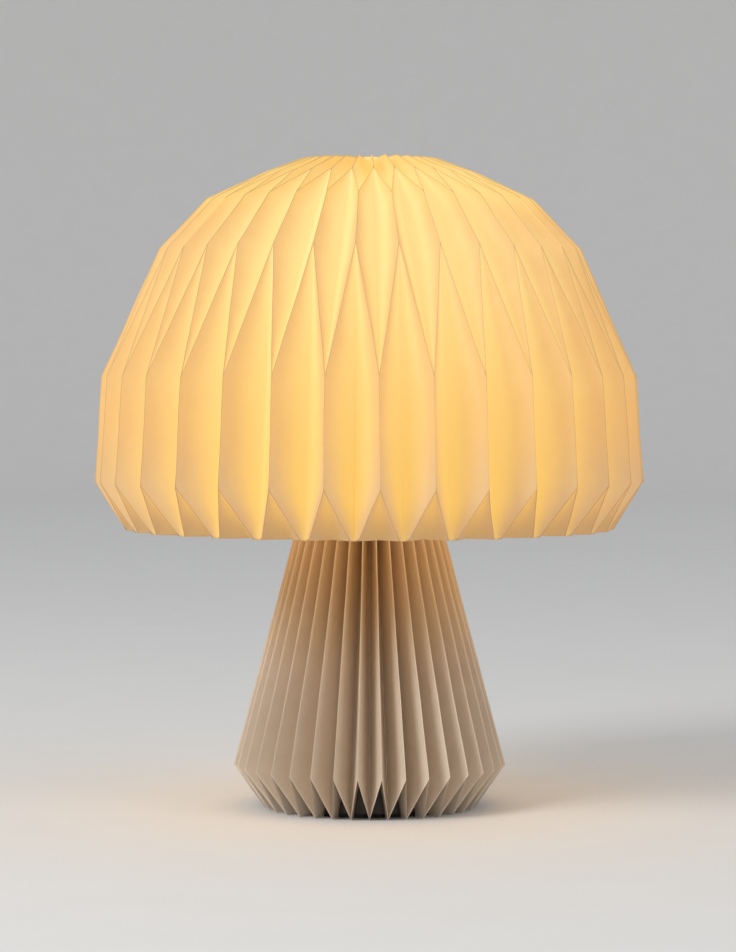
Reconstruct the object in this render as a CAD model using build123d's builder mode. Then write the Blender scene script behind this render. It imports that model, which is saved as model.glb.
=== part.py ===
"""A table lamp with a pleated paper shade like a mushroom's cap on a pleated paper column.

All sizes are millimetres. The lamp stands on z = 0 with its axis on Z, and its front faces -Y.
Angles called bearings are counted from the front, positive towards +X.
"""

import os
from math import atan2, cos, degrees, hypot, radians, sin

from build123d import *

os.makedirs("parts", exist_ok=True)

# Clearances
soft_gap = 0.3
shaft_gap = 0.05
seat_gap = 0.15
joint_angle = 0.03
smallest_edge = 0.005

# Shade paper, as rings of fold corners measured down from the crown
shade_pleats = 33
shade_sheets = 6
shade_turn = 2.0
shade_paper = 0.4
vent_radius = 17.6
crown_radius = 34.8
fork_radius = 56.0
fork_drop = 7.6
shoulder_radius = 84.4
shoulder_drop = 20.9
brow_radius = 108.9
brow_drop = 46.8
belly_radius = 137.6
belly_drop = 111.7
widest_radius = 141.3
widest_drop = 165.5
rim_radius = 122.4
rim_drop = 190.2
tuck_radius = 113.5
pressed_fold = 2.4
tape_paper = 0.2
tape_share = 0.07
tape_margin = 5.0
collar_wall = 1.0

# Column paper, as rings of fold corners measured up from the floor
column_pleats = 36
column_sheets = 2
column_paper = 0.4
foot_radius = 54.8
foot_inner_radius = 46.0
foot_inner_height = 20.5
corner_radius = 70.3
corner_height = 22.2
neck_radius = 35.2
neck_inner_radius = 15.7
column_height = 154.8

# Base pan, ballast and pad
pad_thickness = 2.0
plate_thickness = 6.0
plate_chamfer = 0.3
pan_height = 22.0
pan_wall = 1.2
pan_bend = 2.0
post_count = 3
post_circle_radius = 32.0
post_radius = 3.2
screw_radius = 1.5
screw_head_radius = 3.0
screw_head_height = 1.6
plate_screw_length = 12.0
pan_screw_length = 6.0
driver_slot_width = 0.7
driver_slot_depth = 0.6
inlet_bore = 2.3
inlet_depth = 7.0
grommet_wall = 1.3

# Threaded pipe and its nuts
pipe_radius = 5.0
pipe_bore = 3.6
pipe_below_pan = 5.8
pipe_into_holder = 8.0
nut_width = 14.0
nut_height = 4.0
washer_radius = 9.0
washer_thickness = 0.8
cap_thickness = 1.5
cap_boss = 2.0
cap_chamfer = 0.5
pipe_chamfer = 0.4

# Lead and its terminal block
lead_radius = 2.2
lead_rise = 3.0
core_spread = 1.0
core_rise = 3.5
core_bend = 2.0
core_radius = 0.8
block_length = 14.0
block_width = 12.0
block_height = 9.0
block_offset = 24.0
block_screw_radius = 1.6

# Lampholder
holder_radius = 20.0
holder_wall = 1.8
holder_cap_height = 24.0
holder_neck_radius = 9.0
holder_neck_height = 5.0
holder_shoulder = 5.0
holder_shell_height = 30.0
flange_height = 14.0
flange_radius = 23.0
flange_thickness = 2.0
insert_height = 8.0
socket_radius = 13.4
socket_wall = 0.5
socket_lip = 1.4
contact_width = 5.0
contact_corner = 1.2
contact_rise = 1.2
terminal_radius = 1.7
terminal_offset = 9.0
terminal_height = 3.0

# Turn switch in the lampholder
knob_radius = 5.5
knob_length = 9.0
knob_flutes = 12
flute_radius = 0.7
knob_shaft_radius = 1.5
knob_standoff = 1.5
knob_shaft_seat = 3.0
switch_size = 8.0
switch_height = 6.5
switch_offset = 7.0

# Bulb
bulb_cap_height = 21.0
bulb_insulator_height = 3.6
bulb_insulator_radius = 6.0
bulb_tip_radius = 2.4
bulb_cap_gap = 0.12
bulb_neck_height = 21.0
bulb_neck_radius = 21.5
bulb_globe_radius = 29.0
bulb_globe_height = 49.5
bulb_globe_swell = 1.9
bulb_glass = 1.2
bulb_travel = 25.0
bulb_headroom = 0.8
led_board_thickness = 1.6
led_count = 8
led_size = 3.0
led_height = 0.8

# Wire carrier that holds the shade
hoop_wire_radius = 1.5
arm_wire_radius = 1.25
carrier_arms = 3
carrier_collar_width = 7.0
carrier_collar_thickness = 1.4
carrier_bend_radius = 16.0
hoop_clearance = 4.0
clamp_ring_width = 4.0
clamp_ring_height = 4.5
clamp_flutes = 24

# Bearings and turns in degrees
full_turn = 360.0
half_turn = 180.0
quarter_turn = 90.0
post_start = -90.0
carrier_start = 90.0

# Heights that follow from the sizes above
plate_top = pad_thickness + plate_thickness
pan_top = pad_thickness + pan_height
pan_roof = pan_top - pan_wall
pan_radius = foot_inner_radius - soft_gap
cap_bottom = column_height + soft_gap
cap_top = cap_bottom + cap_thickness
holder_bottom = cap_top + nut_height
pipe_bottom = pan_roof - pipe_below_pan
pipe_top = holder_bottom + pipe_into_holder
shell_bottom = holder_bottom + holder_cap_height
shell_top = shell_bottom + holder_shell_height
flange_top = shell_bottom + flange_height
insert_bottom = shell_bottom - insert_height / 2
insert_top = insert_bottom + insert_height
bulb_bottom = insert_top + contact_rise + soft_gap
bulb_cap_bottom = bulb_bottom + bulb_insulator_height
bulb_cap_top = bulb_cap_bottom + bulb_cap_height
bulb_neck_top = bulb_cap_top + bulb_neck_height
bulb_top = bulb_neck_top + bulb_globe_height
hoop_top = bulb_top + bulb_travel + bulb_headroom
switch_level = insert_bottom - switch_height / 2
shade_half_pitch = half_turn / shade_pleats
column_half_pitch = half_turn / column_pleats
screw_slot_length = 2 * (screw_head_radius + driver_slot_width)
column_lean = degrees(atan2(corner_radius - neck_radius, column_height - corner_height))
inlet_bearing = half_turn + column_half_pitch


# Pleated paper

def fold_depth(radius, half_pitch, pleat_width, thickness):
    """How far apart the two faces of the paper lie at a fold, measured across the pleat."""
    half_chord = radius * sin(radians(half_pitch))
    slant = hypot(half_chord, pleat_width) / half_chord
    return min(thickness * slant, pressed_fold)


def unit(start, end):
    """The unit vector from one point of a profile to another."""
    length = hypot(end[0] - start[0], end[1] - start[1])
    return ((end[0] - start[0]) / length, (end[1] - start[1]) / length)


def fold_normals(line, side):
    """The outward direction at each point of a fold line, lengthened where the line turns."""
    runs = [unit(a, b) for a, b in zip(line, line[1:])]
    across = [(-side * z, side * r) for r, z in runs]
    across = [across[0]] + across + [across[-1]]
    normals = []
    for one, two in zip(across, across[1:]):
        share = 1 + one[0] * two[0] + one[1] * two[1]
        normals.append(((one[0] + two[0]) / share, (one[1] + two[1]) / share))
    return normals


def paper_faces(line, side, pleat, shares):
    """A fold line moved into the paper by each share of the fold's depth, 0 for the outer face."""
    half_pitch, pleat_width, thickness = pleat
    faces = []
    for share in shares:
        face = []
        for (r, z), (across_r, across_z) in zip(line, fold_normals(line, side)):
            depth = fold_depth(r, half_pitch, pleat_width, thickness) * share
            face.append((r - across_r * depth, z - across_z * depth))
        faces.append(face)
    return faces


def on_bearing(line, bearing):
    """A profile line turned to its bearing round the lamp's axis."""
    across, out = sin(radians(bearing)), -cos(radians(bearing))
    return [Vector(r * across, r * out, z) for r, z in line]


def triangle(a, b, c):
    """A flat triangular face, or none where two corners meet."""
    corners = [a, b, c]
    if min((p - q).length for p, q in zip(corners, corners[1:] + corners[:1])) < smallest_edge:
        return []
    return [Face(Wire.make_polygon(corners))]


def patch(a, b, c, d):
    """Two triangles that cover the four-sided patch a, b, c, d."""
    return triangle(a, b, c) + triangle(a, c, d)


def folded_sheet(columns):
    """A closed solid of paper from columns of points, each with its outer and its inner face.

    The panels' diagonals start at the even columns, so that both sides of a fold are alike.
    """
    outer, inner = zip(*columns)
    faces = []
    for col in range(len(columns) - 1):
        even, odd = (col, col + 1) if col % 2 == 0 else (col + 1, col)
        for skin in (outer, inner):
            for row in range(len(skin[col]) - 1):
                faces += patch(skin[even][row], skin[even][row + 1], skin[odd][row + 1], skin[odd][row])
        for row in (0, -1):
            faces += patch(outer[col][row], outer[col + 1][row], inner[col + 1][row], inner[col][row])
    for col in (0, -1):
        for row in range(len(outer[col]) - 1):
            faces += patch(outer[col][row], outer[col][row + 1], inner[col][row + 1], inner[col][row])
    return Solid(Shell(faces))


def pleat_columns(lines, start, count, half_pitch):
    """Columns for a run of pleats: the two fold lines by turns, each with both of its faces."""
    columns = []
    for step in range(2 * count + 1):
        trim = joint_angle * ((step == 0) - (step == 2 * count))
        bearing = start + step * half_pitch + trim
        columns.append([on_bearing(face, bearing) for face in lines[step % 2]])
    return columns


def shortened(start, end, first, last):
    """A straight run between two points with a length taken off at each end."""
    along = (end - start).normalized()
    return [start + along * first, end - along * last]


def tape_columns(lines, seam, half_pitch, first, last):
    """Columns for a narrow paper tape inside a straight groove, short of both of its ends.

    It lies along the two panels that meet there, which both end at the rib's second point.
    """
    groove_faces, rib_faces = lines
    columns = []
    for side in (-1, 0, 1):
        faces = []
        for groove, rib in zip(groove_faces, rib_faces):
            beside = on_bearing(rib, seam + side * half_pitch)[1]
            ends = [point + (beside - point) * tape_share * abs(side) for point in on_bearing(groove, seam)]
            faces.append(shortened(*ends, first, last))
        columns.append(faces)
    return columns


def keep(piece, name):
    """Name a finished piece and write it out."""
    piece.part.label = name
    export_step(piece.part, f"parts/{name}.step")


def paper_piece(columns, name):
    with BuildPart() as piece:
        add(folded_sheet(columns))
    keep(piece, name)


# Shade sheets, their seam tapes and the collar in the vent

hoop_drop = soft_gap + pressed_fold + shoulder_drop + hoop_wire_radius
roof_slope = (belly_radius - crown_radius) / belly_drop
hoop_radius = crown_radius + hoop_drop * roof_slope - pressed_fold - hoop_wire_radius - hoop_clearance
hoop_fold = fold_depth(hoop_radius, shade_half_pitch, shoulder_drop, shade_paper)
crown_height = hoop_top + soft_gap + hoop_fold + shoulder_drop
shade_pleat = (shade_half_pitch, shoulder_drop, shade_paper)

rib_line = [
    (vent_radius, crown_height),
    (crown_radius, crown_height),
    (fork_radius, crown_height - fork_drop),
    (belly_radius, crown_height - belly_drop),
    (widest_radius, crown_height - widest_drop),
    (tuck_radius, crown_height - rim_drop),
]
groove_line = [
    (vent_radius, crown_height - shoulder_drop),
    (shoulder_radius, crown_height - shoulder_drop),
    (brow_radius, crown_height - brow_drop),
    (rim_radius, crown_height - rim_drop),
]


def shade_lines(*shares):
    """The shade's groove and rib lines, with the groove's points at the vent and the rim doubled."""
    grooves = [face[:1] + face + face[-1:] for face in paper_faces(groove_line, 1, shade_pleat, shares)]
    return [grooves, paper_faces(rib_line, 1, shade_pleat, shares)]


def pleats_to_seam(number):
    """How many pleats lie before a seam. The first seam is in the groove nearest to the rear."""
    return shade_pleats // 2 + number * shade_pleats // shade_sheets


def make_shade():
    tape_start = 1 + soft_gap / shade_paper
    tape_end = tape_start + tape_paper / shade_paper
    for number in range(shade_sheets):
        seam = shade_turn + shade_half_pitch * (1 + 2 * pleats_to_seam(number))
        pleats = pleats_to_seam(number + 1) - pleats_to_seam(number)
        sheet = pleat_columns(shade_lines(0, 1), seam, pleats, shade_half_pitch)
        paper_piece(sheet, f"shade_sheet_{number + 1}")
        groove = [[face[3:5] for face in line] for line in shade_lines(tape_start, tape_end)]
        tape = tape_columns(groove, seam, shade_half_pitch, tape_margin, tape_margin)
        paper_piece(tape, f"shade_seam_tape_{number + 1}")


def make_vent_collar():
    with BuildPart() as vent_collar:
        with BuildSketch(Plane.XY.offset(crown_height - shoulder_drop)):
            Circle(vent_radius - soft_gap)
            Circle(vent_radius - soft_gap - collar_wall, mode=Mode.SUBTRACT)
        extrude(amount=shoulder_drop)
    keep(vent_collar, "vent_collar")


# Column sheets and their seam tapes

column_width = corner_height * sin(radians(column_lean))
column_width += (corner_radius - foot_radius) * cos(radians(column_lean))
column_pleat = (column_half_pitch, column_width, column_paper)

corner_line = [
    (foot_inner_radius, foot_inner_height),
    (corner_radius, corner_height),
    (neck_radius, column_height),
]
tip_line = [
    (foot_inner_radius, 0),
    (foot_radius, 0),
    (neck_inner_radius, column_height),
]


def column_lines(*shares):
    return [paper_faces(line, -1, column_pleat, shares) for line in (tip_line, corner_line)]


def make_column():
    tape_start = 1 + soft_gap / column_paper
    tape_end = tape_start + tape_paper / column_paper
    for number in range(column_sheets):
        seam = quarter_turn + number * full_turn / column_sheets
        pleats = column_pleats // column_sheets
        sheet = pleat_columns(column_lines(0, 1), seam, pleats, column_half_pitch)
        paper_piece(sheet, f"column_sheet_{number + 1}")
        groove = [[face[1:] for face in line] for line in column_lines(tape_start, tape_end)]
        tape = tape_columns(groove, seam, column_half_pitch, pan_top + tape_margin, tape_margin)
        paper_piece(tape, f"column_seam_tape_{number + 1}")


def make_column_cap():
    with BuildPart() as column_cap:
        with BuildSketch(Plane.XY.offset(cap_bottom)):
            Circle(neck_radius)
        extrude(amount=cap_thickness)
        chamfer(column_cap.edges().group_by(Axis.Z)[-1], cap_chamfer)
        with BuildSketch(Plane.XY.offset(cap_bottom)):
            Circle(neck_inner_radius - 2 * pressed_fold - soft_gap)
        extrude(amount=-cap_boss)
        with BuildSketch(Plane.XY.offset(cap_bottom - cap_boss)):
            Circle(pipe_radius + shaft_gap)
        extrude(amount=cap_boss + cap_thickness, mode=Mode.SUBTRACT)
    keep(column_cap, "column_cap")


# Base pan, ballast plate, pad, posts and screws

def inlet_slot(depth_from, bottom, top, slack):
    """A block on the inlet's bearing from one radius out past the pan, between two heights."""
    width = 2 * (inlet_bore + grommet_wall + slack)
    length = pan_radius + inlet_depth - depth_from
    inner_end = (Align.CENTER, Align.MIN, Align.MIN)
    block = Box(width, length, top - bottom, align=inner_end, mode=Mode.PRIVATE)
    return Rot(0, 0, inlet_bearing - half_turn) * Pos(0, depth_from, bottom) * block


def make_foot_pad():
    with BuildPart() as foot_pad:
        with BuildSketch():
            Circle(pan_radius)
        extrude(amount=pad_thickness)
    keep(foot_pad, "foot_pad")


def make_ballast_plate():
    with BuildPart() as ballast_plate:
        with BuildSketch(Plane.XY.offset(pad_thickness)):
            Circle(pan_radius - pan_wall - seat_gap)
        extrude(amount=plate_thickness)
        chamfer(ballast_plate.edges().group_by(Axis.Z)[-1], plate_chamfer)
        with Locations(Plane(origin=(0, 0, pad_thickness), z_dir=(0, 0, -1))):
            with PolarLocations(post_circle_radius, post_count, start_angle=post_start):
                CounterSinkHole(screw_radius + shaft_gap, screw_head_radius + shaft_gap, plate_thickness)
        add(inlet_slot(pan_radius - pan_wall - inlet_depth, pad_thickness, plate_top, 0), mode=Mode.SUBTRACT)
    keep(ballast_plate, "ballast_plate")


def make_base_pan():
    with BuildPart() as base_pan:
        with BuildSketch(Plane.XY.offset(pad_thickness)):
            Circle(pan_radius)
        extrude(amount=pan_height)
        fillet(base_pan.edges().group_by(Axis.Z)[-1], pan_bend)
        with BuildSketch(Plane.XY.offset(pad_thickness)):
            Circle(pan_radius - pan_wall)
        extrude(amount=pan_height - pan_wall, mode=Mode.SUBTRACT)
        with BuildSketch(Plane.XY.offset(pan_roof)):
            Circle(pipe_radius + shaft_gap)
            with PolarLocations(post_circle_radius, post_count, start_angle=post_start):
                Circle(screw_radius + shaft_gap)
        extrude(amount=pan_wall, mode=Mode.SUBTRACT)
        add(inlet_slot(pan_radius - 2 * pan_wall, pad_thickness, plate_top, 0), mode=Mode.SUBTRACT)
    keep(base_pan, "base_pan")


def make_inlet_grommet():
    middle = (pad_thickness + plate_top) / 2
    back = pan_radius - pan_wall - inlet_depth
    with BuildPart() as inlet_grommet:
        add(inlet_slot(back, pad_thickness + shaft_gap, plate_top - shaft_gap, -shaft_gap))
        with BuildSketch():
            Circle(pan_radius)
        extrude(amount=plate_top, mode=Mode.INTERSECT)
        bore = Rot(0, 0, inlet_bearing - half_turn) * Pos(0, back, middle) * Rot(-90, 0, 0)
        add(bore * Cylinder(inlet_bore, 2 * pan_radius, mode=Mode.PRIVATE), mode=Mode.SUBTRACT)
    keep(inlet_grommet, "inlet_grommet")


def make_posts():
    with BuildPart() as pan_posts:
        with BuildSketch(Plane.XY.offset(plate_top)):
            with PolarLocations(post_circle_radius, post_count, start_angle=post_start):
                RegularPolygon(post_radius, 6, major_radius=False)
                Circle(screw_radius + shaft_gap, mode=Mode.SUBTRACT)
        extrude(amount=pan_roof - plate_top)
    keep(pan_posts, "pan_posts")


def make_plate_screws():
    with BuildPart() as plate_screws:
        with BuildSketch(Plane.XZ):
            with BuildLine():
                Polyline(
                    (post_circle_radius, pad_thickness + driver_slot_depth),
                    (post_circle_radius, pad_thickness + plate_screw_length),
                    (post_circle_radius + screw_radius, pad_thickness + plate_screw_length),
                    (post_circle_radius + screw_radius, pad_thickness + screw_head_radius - screw_radius),
                    (post_circle_radius + screw_head_radius, pad_thickness),
                    (post_circle_radius + driver_slot_depth, pad_thickness),
                    close=True,
                )
            make_face()
        revolve(axis=Axis((post_circle_radius, 0, 0), (0, 0, 1)))
    with BuildPart() as placed:
        for number in range(post_count):
            add(Rot(0, 0, post_start + full_turn * number / post_count) * plate_screws.part)
    keep(placed, "plate_screws")


def make_pan_screws():
    with BuildPart() as pan_screws:
        with PolarLocations(post_circle_radius, post_count, start_angle=post_start):
            Cylinder(screw_radius, pan_screw_length, align=(Align.CENTER, Align.CENTER, Align.MAX))
            Cylinder(screw_head_radius, screw_head_height, align=(Align.CENTER, Align.CENTER, Align.MIN))
        chamfer(pan_screws.edges().group_by(Axis.Z)[-1], driver_slot_depth)
        with Locations((0, 0, screw_head_height)):
            with PolarLocations(post_circle_radius, post_count, start_angle=post_start):
                Box(driver_slot_width, screw_slot_length, 2 * driver_slot_depth, mode=Mode.SUBTRACT)
    pan_screws.part.locate(Pos(0, 0, pan_top))
    keep(pan_screws, "pan_screws")


# Threaded pipe, nuts and washers

def make_pipe():
    with BuildPart() as threaded_pipe:
        with BuildSketch(Plane.XY.offset(pipe_bottom)):
            Circle(pipe_radius)
            Circle(pipe_bore, mode=Mode.SUBTRACT)
        extrude(amount=pipe_top - pipe_bottom)
        ends = threaded_pipe.edges().filter_by(GeomType.CIRCLE).group_by(SortBy.RADIUS)[-1]
        chamfer(ends, pipe_chamfer)
    keep(threaded_pipe, "threaded_pipe")


def make_nuts():
    nut_bottoms = [pan_roof - washer_thickness - nut_height, pan_top + washer_thickness, cap_top]
    with BuildPart() as pipe_nuts:
        for bottom in nut_bottoms:
            with BuildSketch(Plane.XY.offset(bottom)):
                RegularPolygon(nut_width / 2, 6, major_radius=False)
                Circle(pipe_radius + shaft_gap, mode=Mode.SUBTRACT)
            extrude(amount=nut_height)
    keep(pipe_nuts, "pipe_nuts")


def make_washers():
    with BuildPart() as pipe_washers:
        for bottom in (pan_roof - washer_thickness, pan_top):
            with BuildSketch(Plane.XY.offset(bottom)):
                Circle(washer_radius)
                Circle(pipe_radius + shaft_gap, mode=Mode.SUBTRACT)
            extrude(amount=washer_thickness)
    keep(pipe_washers, "pipe_washers")


# Terminal block and leads

lead_height = plate_top + soft_gap + lead_radius
lead_top = pipe_top + lead_rise
lead_bend = pipe_bottom - lead_height


def make_terminal_block():
    with BuildPart() as terminal_block:
        with BuildSketch(Plane.XY.offset(plate_top)):
            with Locations((-block_offset, 0)):
                RectangleRounded(block_length, block_width, driver_slot_width)
        extrude(amount=block_height)
        with Locations((-block_offset, 0, plate_top + block_height)):
            with GridLocations(0, block_width / 2, 1, 2):
                Hole(block_screw_radius + shaft_gap, block_height / 2)
    keep(terminal_block, "terminal_block")


def make_block_screws():
    bottom = plate_top + block_height / 2
    with BuildPart() as block_screws:
        with BuildSketch(Plane.XY.offset(bottom)):
            with Locations((-block_offset, 0)):
                with GridLocations(0, block_width / 2, 1, 2):
                    Circle(block_screw_radius)
        extrude(amount=block_height / 2 - driver_slot_depth)
        with Locations((-block_offset, 0, plate_top + block_height - driver_slot_depth)):
            with GridLocations(0, block_width / 2, 1, 2):
                Box(driver_slot_width, block_width / 2, 2 * driver_slot_depth, mode=Mode.SUBTRACT)
    keep(block_screws, "block_screws")


def make_inner_lead():
    start = (-block_offset + block_length / 2, 0, lead_height)
    with BuildPart() as inner_lead:
        with BuildLine() as route:
            FilletPolyline(start, (0, 0, lead_height), (0, 0, lead_top), radius=lead_bend)
        with BuildSketch(Plane(origin=start, z_dir=(1, 0, 0))):
            Circle(lead_radius)
        sweep(path=route.line)
    print("inner lead bend radius", round(lead_bend, 1))
    keep(inner_lead, "inner_lead")


def make_core_wires():
    top = lead_top + core_rise
    with BuildPart() as core_wires:
        for side in (-1, 1):
            with BuildLine() as route:
                FilletPolyline(
                    (0, side * core_spread, lead_top),
                    (0, side * core_spread, top),
                    (0, side * (terminal_offset - terminal_radius), top),
                    radius=core_bend,
                )
            with BuildSketch(Plane(origin=(0, side * core_spread, lead_top))):
                Circle(core_radius)
            sweep(path=route.line)
    keep(core_wires, "core_wires")


# Lampholder

def turned(points, name):
    """A piece turned round the lamp's axis from a profile of (radius, height) points."""
    with BuildPart() as piece:
        with BuildSketch(Plane.XZ):
            with BuildLine():
                Polyline(*points, close=True)
            make_face()
        revolve(axis=Axis.Z)
    keep(piece, name)


def make_holder_cap():
    inside = holder_radius - holder_wall
    neck_top = holder_bottom + holder_neck_height
    shoulder_top = neck_top + holder_shoulder
    with BuildPart() as holder_cap:
        with BuildSketch(Plane.XZ):
            with BuildLine():
                Polyline(
                    (pipe_radius + shaft_gap, holder_bottom),
                    (holder_neck_radius, holder_bottom),
                    (holder_neck_radius, neck_top),
                    (holder_radius, shoulder_top),
                    (holder_radius, shell_bottom),
                    (inside, shell_bottom),
                    (inside, shoulder_top + holder_wall),
                    (holder_neck_radius - holder_wall, neck_top + holder_wall),
                    (pipe_radius + shaft_gap, neck_top + holder_wall),
                    close=True,
                )
            make_face()
        revolve(axis=Axis.Z)
        with BuildSketch(Plane(origin=(0, 0, switch_level), z_dir=(1, 0, 0))):
            Circle(knob_shaft_radius + shaft_gap)
        extrude(amount=2 * holder_radius, mode=Mode.SUBTRACT)
    keep(holder_cap, "holder_cap")


def make_holder_shell():
    inside = holder_radius - holder_wall
    turned([
        (inside, shell_bottom),
        (holder_radius, shell_bottom),
        (holder_radius, flange_top - flange_thickness),
        (flange_radius, flange_top - flange_thickness),
        (flange_radius, flange_top),
        (holder_radius, flange_top),
        (holder_radius, shell_top),
        (inside, shell_top),
    ], "holder_shell")


def make_holder_insert():
    outside = holder_radius - holder_wall - seat_gap
    cup = socket_radius + socket_wall + seat_gap
    turned([
        (0, insert_bottom),
        (outside, insert_bottom),
        (outside, shell_top - holder_wall),
        (cup, shell_top - holder_wall),
        (cup, insert_top),
        (0, insert_top),
    ], "holder_insert")


def make_screw_shell():
    outside = socket_radius + socket_wall
    turned([
        (socket_radius - socket_lip, insert_top),
        (outside, insert_top),
        (outside, shell_top - 2 * holder_wall),
        (socket_radius, shell_top - 2 * holder_wall),
        (socket_radius, insert_top + socket_wall),
        (socket_radius - socket_lip, insert_top + socket_wall),
    ], "screw_shell")


def make_centre_contact():
    with BuildPart() as centre_contact:
        with BuildSketch(Plane.XY.offset(insert_top)):
            RectangleRounded(2 * contact_width, contact_width, contact_corner)
        extrude(amount=socket_wall)
        with BuildSketch(Plane.XY.offset(insert_top + socket_wall)):
            Circle(contact_width / 2)
        extrude(amount=contact_rise - socket_wall)
    keep(centre_contact, "centre_contact")


def make_terminal_screws():
    with BuildPart() as terminal_screws:
        with BuildSketch(Plane.XY.offset(insert_bottom)):
            with GridLocations(0, 2 * terminal_offset, 1, 2):
                Circle(terminal_radius)
        extrude(amount=-(terminal_height + core_rise))
    keep(terminal_screws, "terminal_screws")


def make_clamp_ring():
    bottom = flange_top + carrier_collar_thickness
    outside = holder_radius + shaft_gap + clamp_ring_width
    with BuildPart() as clamp_ring:
        with BuildSketch(Plane.XY.offset(bottom)):
            Circle(outside)
            with PolarLocations(outside, clamp_flutes):
                Circle(flute_radius, mode=Mode.SUBTRACT)
            Circle(holder_radius + shaft_gap, mode=Mode.SUBTRACT)
        extrude(amount=clamp_ring_height)
    keep(clamp_ring, "clamp_ring")


# Turn switch

def make_switch_body():
    with BuildPart() as switch_body:
        with BuildSketch(Plane.XY.offset(insert_bottom)):
            with Locations((switch_offset + switch_size / 2, 0)):
                Rectangle(switch_size, switch_size)
        extrude(amount=-switch_height)
        with BuildSketch(Plane(origin=(switch_offset + switch_size, 0, switch_level), z_dir=(1, 0, 0))):
            Circle(knob_shaft_radius + shaft_gap)
        extrude(amount=-(knob_shaft_seat + shaft_gap), mode=Mode.SUBTRACT)
    keep(switch_body, "switch_body")


def make_switch_knob():
    shaft_start = switch_offset + switch_size - knob_shaft_seat
    knob_start = holder_radius + knob_standoff
    with BuildPart() as switch_knob:
        with BuildSketch(Plane(origin=(shaft_start, 0, switch_level), z_dir=(1, 0, 0))):
            Circle(knob_shaft_radius)
        extrude(amount=knob_start - shaft_start)
        with BuildSketch(Plane(origin=(knob_start, 0, switch_level), z_dir=(1, 0, 0))):
            Circle(knob_radius)
            with PolarLocations(knob_radius, knob_flutes):
                Circle(flute_radius, mode=Mode.SUBTRACT)
        extrude(amount=knob_length)
        with BuildSketch(Plane(origin=(knob_start + knob_length, 0, switch_level), z_dir=(1, 0, 0))):
            Rectangle(flute_radius * 2, knob_radius)
        extrude(amount=-flute_radius, mode=Mode.SUBTRACT)
    keep(switch_knob, "switch_knob")


# Bulb

def make_bulb_cap():
    outside = socket_radius - bulb_cap_gap
    inside = outside - socket_wall
    turned([
        (bulb_insulator_radius, bulb_cap_bottom),
        (outside, bulb_cap_bottom),
        (outside, bulb_cap_top),
        (inside, bulb_cap_top),
        (inside, bulb_cap_bottom + socket_wall),
        (bulb_insulator_radius, bulb_cap_bottom + socket_wall),
    ], "bulb_cap")


def make_bulb_insulator():
    turned([
        (bulb_tip_radius, bulb_bottom + socket_wall),
        (bulb_insulator_radius, bulb_cap_bottom - socket_wall),
        (bulb_insulator_radius, bulb_cap_bottom + socket_wall),
        (bulb_tip_radius, bulb_cap_bottom + socket_wall),
    ], "bulb_insulator")


def make_bulb_contact():
    turned([
        (0, bulb_bottom),
        (bulb_tip_radius, bulb_bottom),
        (bulb_tip_radius, bulb_cap_bottom),
        (0, bulb_cap_bottom),
    ], "bulb_contact")


def make_bulb_neck():
    start = socket_radius - bulb_cap_gap
    turned([
        (start - bulb_glass, bulb_cap_top),
        (start, bulb_cap_top),
        (bulb_neck_radius, bulb_neck_top),
        (bulb_neck_radius - bulb_glass, bulb_neck_top),
    ], "bulb_neck")


def make_bulb_globe():
    centre = bulb_top - bulb_globe_radius
    middle = (bulb_neck_top + centre) / 2
    with BuildPart() as bulb_globe:
        with BuildSketch(Plane.XZ):
            with BuildLine():
                for wall in (0, bulb_glass):
                    radius = bulb_globe_radius - wall
                    swell = radius - bulb_globe_swell
                    ThreePointArc((bulb_neck_radius - wall, bulb_neck_top), (swell, middle), (radius, centre))
                    CenterArc((0, centre), radius, 0, quarter_turn)
                Line((0, bulb_top), (0, bulb_top - bulb_glass))
                Line((bulb_neck_radius, bulb_neck_top), (bulb_neck_radius - bulb_glass, bulb_neck_top))
            make_face()
        revolve(axis=Axis.Z)
    keep(bulb_globe, "bulb_globe")


def make_led_board():
    with BuildPart() as led_board:
        with BuildSketch(Plane.XY.offset(bulb_neck_top)):
            Circle(bulb_neck_radius - bulb_glass - seat_gap)
        extrude(amount=led_board_thickness)
    keep(led_board, "led_board")


def make_led_chips():
    with BuildPart() as led_chips:
        with BuildSketch(Plane.XY.offset(bulb_neck_top + led_board_thickness)):
            with PolarLocations(bulb_neck_radius / 2, led_count):
                Rectangle(led_size, led_size)
        extrude(amount=led_height)
    keep(led_chips, "led_chips")


# Wire carrier

collar_edge = holder_radius + shaft_gap + carrier_collar_width


def make_carrier_arm():
    """One arm in the plane y = 0, from the collar out and up to the hoop."""
    collar_middle = flange_top + carrier_collar_thickness / 2
    start = (collar_edge - arm_wire_radius, 0, collar_middle)
    corner = (hoop_radius, 0, collar_middle)
    end = (hoop_radius, 0, hoop_top - hoop_wire_radius)
    with BuildPart() as carrier_arm:
        with BuildLine() as route:
            FilletPolyline(start, corner, end, radius=carrier_bend_radius)
        with BuildSketch(Plane(origin=start, z_dir=(1, 0, 0))):
            Circle(arm_wire_radius)
        sweep(path=route.line)
    return carrier_arm.part


def make_shade_carrier():
    arm = make_carrier_arm()
    with BuildPart() as shade_carrier:
        with BuildSketch(Plane.XY.offset(flange_top)):
            Circle(collar_edge)
            Circle(holder_radius + shaft_gap, mode=Mode.SUBTRACT)
        extrude(amount=carrier_collar_thickness)
        with Locations((0, 0, hoop_top - hoop_wire_radius)):
            Torus(hoop_radius, hoop_wire_radius)
        add([Rot(0, 0, carrier_start + full_turn * n / carrier_arms) * arm for n in range(carrier_arms)])
    keep(shade_carrier, "shade_carrier")


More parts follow.
